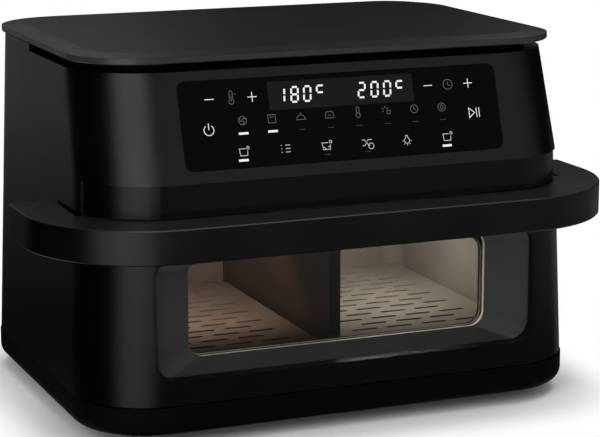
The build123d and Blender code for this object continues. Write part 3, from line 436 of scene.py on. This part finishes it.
def grid_mesh(name, points, material, closed_u=False, closed_v=False):
    """Mesh over a grid of points: each cell of the grid is a face, and a closed direction joins its ends."""
    rows, columns = points.shape[:2]
    index = np.arange(rows * columns).reshape(rows, columns)
    if closed_u:
        index = np.concatenate([index, index[:1]], 0)
    if closed_v:
        index = np.concatenate([index, index[:, :1]], 1)
    faces = np.stack([index[:-1, :-1], index[1:, :-1], index[1:, 1:], index[:-1, 1:]], -1)
    return new_piece(name, points.reshape(-1, 3), faces.reshape(-1, 4), material)


def rounded_loop(half_x, low, high, radius, steps=8):
    """Closed outline in x and z: a quarter circle round each corner of a rectangle, taken in turn."""
    corners = [(half_x - radius, high - radius, 0), (radius - half_x, high - radius, 90),
               (radius - half_x, low + radius, 180), (half_x - radius, low + radius, 270)]
    return np.concatenate([arc((x, z), radius, start, start + 90, steps) for x, z, start in corners])


def bead(name, outline, y, radius, material, sides=10):
    """Round bead along an outline at depth y: each point of it, plus the radius times the cosine of the
    section's angle along the outline's outward normal, and times its sine in depth."""
    step = np.roll(outline, -1, 0) - np.roll(outline, 1, 0)
    step = step / np.linalg.norm(step, axis=1, keepdims=True)
    out = np.stack([step[:, 1], -step[:, 0]], 1)
    t = np.linspace(0, 2 * math.pi, sides + 1)[:-1]
    flat = outline[:, None] + radius * np.cos(t)[None, :, None] * out[:, None]
    depth = y + radius * np.sin(t)[None, :] + 0 * flat[..., 0]
    points = np.stack([flat[..., 0], depth, flat[..., 1]], -1)
    return grid_mesh(name, points, material, closed_u=True, closed_v=True)


def on_panel(uv, lift):
    """Points of the panel: its foot, plus u across, plus v up the slope, plus the lift along its normal."""
    up = np.array([0.0, math.sin(PANEL_ANGLE), math.cos(PANEL_ANGLE)])
    out = np.array([0.0, -math.cos(PANEL_ANGLE), math.sin(PANEL_ANGLE)])
    return np.array(FASCIA_FOOT) + uv[..., :1] * np.array([1.0, 0, 0]) + uv[..., 1:2] * up + lift * out


def line(*points):
    """Path through the given points of the panel."""
    return np.array(points, float)


def arc(centre, radius, start, end, steps):
    """Points of an arc: the centre plus the radius at angles from start to end, in degrees."""
    t = np.radians(np.linspace(start, end, steps + 1))
    return np.stack([centre[0] + radius * np.cos(t), centre[1] + radius * np.sin(t)], 1)


def ring(centre, radius, steps):
    """Points of a full circle."""
    return arc(centre, radius, 0, 360, steps)


def ribbon_points(path, width):
    """Two edges of a flat line: the path moved each way along its mitred normal by half the width."""
    closed = np.allclose(path[0], path[-1])
    step = np.diff(path, axis=0)
    step = step / np.linalg.norm(step, axis=1, keepdims=True)
    before = np.vstack([step[-1:] if closed else step[:1], step])
    after = np.vstack([step, step[:1] if closed else step[-1:]])
    both = before + after
    normal = np.stack([-both[:, 1], both[:, 0]], 1)
    scale = 2 / np.maximum((normal ** 2).sum(1, keepdims=True), 0.5)
    offset = normal * scale * width / 2
    return np.stack([path - offset, path + offset], 1)


def ink(name, paths, width, material):
    """Lines of print on the panel: one thin ribbon for each path, joined into one piece."""
    points, faces, start = [], [], 0
    for path in paths:
        ribbon = on_panel(ribbon_points(path, width), PRINT_LIFT).reshape(-1, 3)
        index = np.arange(len(ribbon)).reshape(-1, 2) + start
        faces.append(np.stack([index[:-1, 0], index[1:, 0], index[1:, 1], index[:-1, 1]], -1))
        points.append(ribbon)
        start += len(ribbon)
    item = new_piece(name, np.vstack(points), np.vstack(faces), material)
    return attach(item, "housing")


# Lines of a seven-segment figure, in shares of its width and height, and the segments of each figure
SEGMENTS = {
    "a": ((0.12, 1.0), (0.88, 1.0)), "b": ((1.0, 0.92), (1.0, 0.56)), "c": ((1.0, 0.44), (1.0, 0.08)),
    "d": ((0.12, 0.0), (0.88, 0.0)), "e": ((0.0, 0.44), (0.0, 0.08)), "f": ((0.0, 0.92), (0.0, 0.56)),
    "g": ((0.12, 0.5), (0.88, 0.5)),
}
DIGITS = {"1": "bc", "8": "abcdefg", "0": "abcdef", "2": "abged"}


def digit(kind, u, v):
    """Seven-segment figure centred on u and v, leaning to the right."""
    wide, high = FIGURE_SIZE
    paths = []
    for name in DIGITS[kind]:
        ends = np.array(SEGMENTS[name]) - 0.5
        x = ends[:, 0] * wide + ends[:, 1] * high * FIGURE_SLANT
        paths.append(np.stack([u + x, v + ends[:, 1] * high], 1))
    return paths


def lit_figures():
    """Both temperatures, each with the letter of its unit."""
    paths = []
    for kind, u in (("1", -49.9), ("8", -38.8), ("0", -28.4), ("2", 16.9), ("0", 27.7), ("0", 38.4)):
        paths += digit(kind, u, FIGURE_ROW)
    for u, v in ((-17.5, 65.3), (49.1, 64.9)):
        paths += [line((u - 2.4, v - 2.6), (u + 2.0, v - 2.6)), line((u - 2.8, v - 1.9), (u - 2.5, v + 1.9)),
                  line((u - 2.0, v + 2.6), (u + 2.7, v + 2.6))]
    return paths


def main_keys():
    """Minus and plus keys beside the display, the on key, and the start and pause key."""
    v = UPPER_ROW
    paths = [line((-111.4, v), (-104.0, v)), line((69.5, v), (76.9, v))]
    for u in (-73.4, 107.8):
        paths += [line((u - 3.7, v), (u + 3.7, v)), line((u, v - 3.7), (u, v + 3.7))]
    u, v = ON_KEY
    paths += [arc((u, v), 3.9, 125, 415, 28), line((u, v + 0.2), (u, v + 5.2))]
    u, v = START_KEY
    paths += [line((u, v - 3.8), (u, v + 3.8), (u + 4.7, v), (u, v - 3.8)),
              line((u + 6.4, v - 3.8), (u + 6.4, v + 3.8)), line((u + 8.7, v - 3.8), (u + 8.7, v + 3.8))]
    return paths


def basket_key(u):
    """Basket seen from the side, with a small fan mark over one end."""
    body = line((-3.6, 1.6), (-3.0, -3.0), (2.6, -3.0), (2.9, 0.6))
    rim = line((-4.2, 2.2), (1.4, 2.2))
    mark = ring((3.4, 2.8), 1.0, 12)
    return [path + np.array([u, ZONE_ROW]) for path in (body, rim, mark)]


def zone_keys():
    """Lower row: three baskets, a list, two crossing arrows and a bulb with rays."""
    v = ZONE_ROW
    paths = basket_key(-84.8) + basket_key(84.5) + basket_key(-17.5)
    paths += [line((-19.9, v - 1.0), (-18.3, v - 2.7)), line((-16.6, v - 1.0), (-14.4, v - 1.0))]
    for i in (-1, 0, 1):
        paths += [line((-51.3, v + 2.6 * i), (-47.4, v + 2.6 * i)),
                  line((-54.9, v + 2.6 * i), (-54.1, v + 2.6 * i))]
    paths += [line((12.0, v + 2.2), (14.0, v + 2.2), (17.2, v - 2.2), (18.4, v - 2.2)),
              line((12.0, v - 2.2), (14.0, v - 2.2), (15.2, v - 0.6)), ring((19.2, v - 2.8), 2.2, 16),
              line((16.4, v + 1.0), (17.2, v + 2.2), (20.2, v + 2.2))]
    u, v = 49.7, ZONE_ROW - 0.7
    paths += [arc((u, v), 2.2, 118, 422, 20),
              line((u - 1.1, v + 1.9), (u - 0.6, v + 4.0), (u + 0.6, v + 4.0), (u + 1.1, v + 1.9))]
    for angle in np.radians([185, 227, 270, 313, 355]):
        x, y = math.cos(angle), math.sin(angle)
        paths.append(line((u + 3.0 * x, v + 3.0 * y), (u + 3.9 * x, v + 3.9 * y)))
    return paths


def upper_marks():
    """Thermometer and clock between the minus and plus keys."""
    u, v = -90.2, UPPER_ROW
    paths = [arc((u, v - 2.6), 2.0, 130, 410, 14), line((u - 1.3, v - 1.1), (u - 1.3, v + 4.2)),
             line((u + 1.3, v - 1.1), (u + 1.3, v + 4.2)), arc((u, v + 4.2), 1.3, 0, 180, 8),
             line((u, v - 2.6), (u, v + 1.8)), line((u + 2.6, v + 3.0), (u + 3.8, v + 3.0))]
    u = 90.3
    return paths + [ring((u, v), 3.9, 28), line((u, v + 2.7), (u, v - 0.2), (u + 1.9, v - 1.3))]


def programme_keys():
    """Middle row: fan, tray, dome, loaf, thermometer, low sun, timer and flame."""
    v = PROGRAMME_ROW
    fan, tray, dome, loaf, low, sun, timer, flame = PROGRAMME_AT
    paths = [ring((fan, v), 3.2, 20)]
    for a in (0.3, 2.4, 4.5):
        start = math.degrees(a)
        paths.append(arc((fan + 1.3 * math.cos(a), v + 1.3 * math.sin(a)), 1.3, start, start + 170, 8))
    paths += [line((tray - 3.0, v - 3.2), (tray - 3.0, v + 3.0), (tray + 3.0, v + 3.0),
                   (tray + 3.0, v - 3.2), (tray - 3.0, v - 3.2)),
              line((tray - 1.6, v + 1.4), (tray + 1.6, v + 1.4))]
    paths += [arc((dome, v - 2.0), 3.4, 0, 180, 16), line((dome - 4.0, v - 2.2), (dome + 4.0, v - 2.2)),
              line((dome - 1.0, v + 2.6), (dome + 1.0, v + 2.6))]
    paths += [line((loaf - 3.4, v - 2.4), (loaf + 3.4, v - 2.4), (loaf + 3.4, v + 0.6), (loaf + 2.2, v + 2.4),
                   (loaf - 2.2, v + 2.4), (loaf - 3.4, v + 0.6), (loaf - 3.4, v - 2.4)),
              line((loaf - 1.0, v - 0.4), (loaf + 1.0, v - 0.4))]
    paths += [ring((low, v - 2.0), 1.8, 14), line((low - 1.2, v - 0.6), (low - 1.2, v + 3.4)),
              line((low + 1.2, v - 0.6), (low + 1.2, v + 3.4)), arc((low, v + 3.4), 1.2, 0, 180, 8)]
    paths.append(ring((sun + 1.6, v - 1.0), 1.5, 12))
    for a in np.radians([30, 90, 150, 210]):
        x, y = math.cos(a), math.sin(a)
        paths.append(line((sun - 1.2 + 1.4 * x, v + 0.8 + 1.4 * y), (sun - 1.2 + 3.0 * x, v + 0.8 + 3.0 * y)))
    paths += [ring((timer, v), 3.1, 20), line((timer, v + 1.8), (timer, v), (timer + 1.6, v - 0.8))]
    paths += [ring((flame, v), 3.2, 20),
              line((flame, v + 2.0), (flame - 1.4, v - 0.4), (flame, v - 2.0), (flame + 1.4, v - 0.4),
                   (flame, v + 2.0))]
    return paths


def bars(half, places):
    """Short level lines under keys, each centred on its place."""
    return [line((u - half, v), (u + half, v)) for u, v in places]


def paint_pane_edge_highlight(m):
    """Pale bead behind the outer pane: its fine pale line is a painted highlight on the inner pane's edge."""
    item = bead("pane_edge_highlight_bead", rounded_loop(*HIGHLIGHT_BEAD_OUTLINE), HIGHLIGHT_BEAD_DEPTH, HIGHLIGHT_BEAD_RADIUS, m["seal"])
    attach(item, "drawer")


def draw_panel():
    """Keys, figures and bars of the panel."""
    white = lit_ink("lit_white_print", "#f4f6f6", 1.0)
    dim = lit_ink("dim_grey_print", "#8d9092", 0.42)
    faint = lit_ink("faint_grey_print", "#55585a", 0.30)
    soft_white = lit_ink("soft_white_print", "#d8dada", 0.85)
    ink("display_figures", lit_figures(), FIGURE_LINE, white)
    ink("main_keys", main_keys(), MAIN_LINE, white)
    ink("zone_keys", zone_keys(), ZONE_LINE, soft_white)
    lit = ((-83.5, 35.3), (-59.8, 35.4), (-85.8, 15.1), (83.4, 14.7))
    ink("selected_bars", bars(3.9, lit), BAR_LINE, white)
    ink("programme_keys", upper_marks() + programme_keys(), PROGRAMME_LINE, dim)
    unlit = [(u, 35.2) for u in PROGRAMME_AT[2:]] + [(-17.5, 14.8), (16.0, 14.8)]
    ink("unlit_bars", bars(2.6, unlit), UNLIT_LINE, faint)


# Stage: floor, lamps and camera


def make_stage():
    """White paper floor with the fryer's shadow on it, and a white surround."""
    side = np.linspace(-FLOOR_HALF, FLOOR_HALF, 3)
    x, y = np.meshgrid(side, side, indexing="ij")
    floor = grid_mesh("floor", np.stack([x, y, 0 * x], -1), white_paper())
    floor.visible_glossy = False
    floor.visible_transmission = False
    light_tent()
    world = bpy.data.worlds.new("studio")
    bpy.context.scene.world = world
    world.use_nodes = True
    tree = world.node_tree
    tree.nodes.clear()
    strength = spread(tree, seen_ray(tree), WORLD_LEVEL, 1.0, (0.0, 1.0))
    back = add(tree, "ShaderNodeBackground", {"Color": (1, 1, 1, 1)}, {"Strength": strength})
    add(tree, "ShaderNodeOutputWorld", links={"Surface": back.outputs[0]})


def seen_ray(tree):
    """1 on rays from the camera, off a mirror or through glass, and 0 on rays that only carry light."""
    path = add(tree, "ShaderNodeLightPath").outputs
    mirrored = arithmetic(tree, "MAXIMUM", path["Is Glossy Ray"], path["Is Transmission Ray"])
    return arithmetic(tree, "MAXIMUM", path["Is Camera Ray"], mirrored)


def white_paper():
    """Matt paper: it takes the shadow close to the fryer, and further out it shows as white."""
    material, tree, shader, place = blank("matt_white_paper")
    tone = tint(tree, grain(tree, place, 400.0, 1.0), "#f6f6f6", "#f8f8f8")
    tree.links.new(tone, shader.inputs["Base Color"])
    settle(shader, Roughness=0.9, Specular_IOR_Level=0.1)
    split = add(tree, "ShaderNodeSeparateXYZ", links={"Vector": place}).outputs
    far = outside_box(tree, split["X"], split["Y"], *(float(mm(value)) for value in CORE_BOX))
    near, away = float(mm(WHITE_FROM)), float(mm(WHITE_TO))
    fade = add(tree, "ShaderNodeMapRange",
               {"interpolation_type": "SMOOTHSTEP", "From Min": near, "From Max": away},
               {"Value": far}).outputs["Result"]
    glow = add(tree, "ShaderNodeEmission", {"Color": (1, 1, 1, 1), "Strength": 1.0})
    share = arithmetic(tree, "MULTIPLY", fade, seen_ray(tree))
    both = add(tree, "ShaderNodeMixShader", {}, {"Fac": share})
    tree.links.new(shader.outputs[0], both.inputs[1])
    tree.links.new(glow.outputs[0], both.inputs[2])
    output = next(node for node in tree.nodes if node.type == "OUTPUT_MATERIAL")
    tree.links.new(both.outputs[0], output.inputs["Surface"])
    return material


def light_tent():
    """Dim cloth tent that the satin surfaces mirror: a dome over angles round and up, with soft pale panels.
    A panel's glow falls off smoothly with the angle from its middle, round and up separately."""
    around = np.radians(np.linspace(0, 360, TENT_STEPS[0] + 1))[:-1]
    height = np.radians(np.linspace(-TENT_REACH, TENT_REACH, TENT_STEPS[1] + 1))
    a, h = np.meshgrid(around, height, indexing="ij")
    points = TENT_RADIUS * np.stack([np.sin(a) * np.cos(h), -np.cos(a) * np.cos(h), np.sin(h)], -1)
    points = points + np.array([0.0, 0.0, TENT_CENTRE])
    material = bpy.data.materials.new("tent_cloth")
    material.use_nodes = True
    tree = material.node_tree
    tree.nodes.clear()
    glow = add(tree, "ShaderNodeEmission", {"Color": (1, 1, 1, 1)})
    add(tree, "ShaderNodeOutputMaterial", links={"Surface": glow.outputs[0]})
    level = add(tree, "ShaderNodeAttribute", {"attribute_name": "glow"})
    tree.links.new(level.outputs["Fac"], glow.inputs["Strength"])
    tent = grid_mesh("light_tent", points, material, closed_u=True)
    a = np.degrees(a)
    h = np.degrees(h)
    bright = np.full(a.shape, TENT_BASE)
    for round_at, round_wide, up_at, up_wide, power in TENT_PANELS:
        da = (a - round_at + 180) % 360 - 180
        bright = bright + power * np.exp(-(da / round_wide) ** 4) * np.exp(-((h - up_at) / up_wide) ** 4)
    attribute = tent.data.attributes.new("glow", "FLOAT", "POINT")
    attribute.data.foreach_set("value", bright.reshape(-1).astype(np.float32))
    tent.visible_camera = False
    tent.visible_diffuse = False
    tent.visible_shadow = False
    return tent


def make_lamps():
    """Rectangular area lamps, each turned to face its aim. No surface mirrors them."""
    for name, place, aim, size, power, colour in LAMPS:
        data = bpy.data.lights.new(name, "AREA")
        data.shape = "RECTANGLE"
        data.size, data.size_y = size
        data.energy = power
        data.color = linear(colour)[:3]
        item = link(name, data)
        item.location = place
        direction = np.array(aim, float) - np.array(place, float)
        item.rotation_euler = Vector(direction).to_track_quat("-Z", "Y").to_euler()
        item.visible_glossy = False


def make_camera():
    """Camera of the product view."""
    data = bpy.data.cameras.new("camera")
    data.sensor_width = 36.0
    data.lens = CAMERA_LENS
    data.clip_start = 0.05
    item = link("camera", data)
    item.location = CAMERA_PLACE
    item.rotation_euler = (math.radians(90 - CAMERA_TILT), 0, math.radians(-CAMERA_TURN))
    bpy.context.scene.camera = item


def dress(frame, m):
    """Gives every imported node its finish."""
    finishes = {
        "base_abs": "base_tray",
        "shell_abs": "housing_shell control_fascia exhaust_grille",
        "front_abs": "band_trim drawer_front",
        "cover_abs": "top_cover",
        "grip_abs": "drawer_handle",
        "strip_abs": "gloss_strip",
        "surround_abs": "window_surround",
        "neck_abs": "vent_neck",
        "dark_abs": "front_frame display_module drawer_sensor",
        "panel_glass": "control_glass",
        "window_glass": "outer_glass inner_glass",
        "rubber": "rubber_feet cord_gland",
        "seal": "glass_gasket",
        "silicone": "plate_bumpers_left plate_bumpers_right",
        "nonstick": "cooking_pan crisper_plate_left crisper_plate_right",
        # Painted shade: the divider and its guides take a darker copy of the coat
        "brown_nonstick_painted_shade": "zone_divider divider_guides",
        "rolled_zinc": "base_screws chassis_rails drawer_runners drawer_slides heat_shield motor_brackets "
                       "motor_screws handle_screws pan_brackets glass_clamp inner_glass_clips exhaust_duct "
                       "drawer_magnet",
        "stainless": "cavity_liner heater_guards heating_elements temperature_probes fan_shaft_left "
                     "fan_shaft_right",
        "pressed_aluminium": "convection_fan_left convection_fan_right cooling_fan_left cooling_fan_right",
        "laminations": "fan_motors",
        "fibre": "insulation_pad",
        "laminate": "control_board power_board",
        "electric": "power_components board_standoffs lamp_holder",
        "lamp_glass": "lamp_lens",
    }
    for finish, names in finishes.items():
        for name in names.split():
            item = frame["nodes"][name]
            item.data.materials.clear()
            item.data.materials.append(m[finish])


def main():
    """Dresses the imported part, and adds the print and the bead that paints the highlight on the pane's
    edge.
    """
    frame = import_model()
    make_camera()
    make_stage()
    make_lamps()
    m = make_materials()
    dress(frame, m)
    draw_panel()
    # Pale bead that paints the highlight on the inner pane's edge
    paint_pane_edge_highlight(m)
    bpy.context.scene.view_settings.view_transform = "Standard"


main()
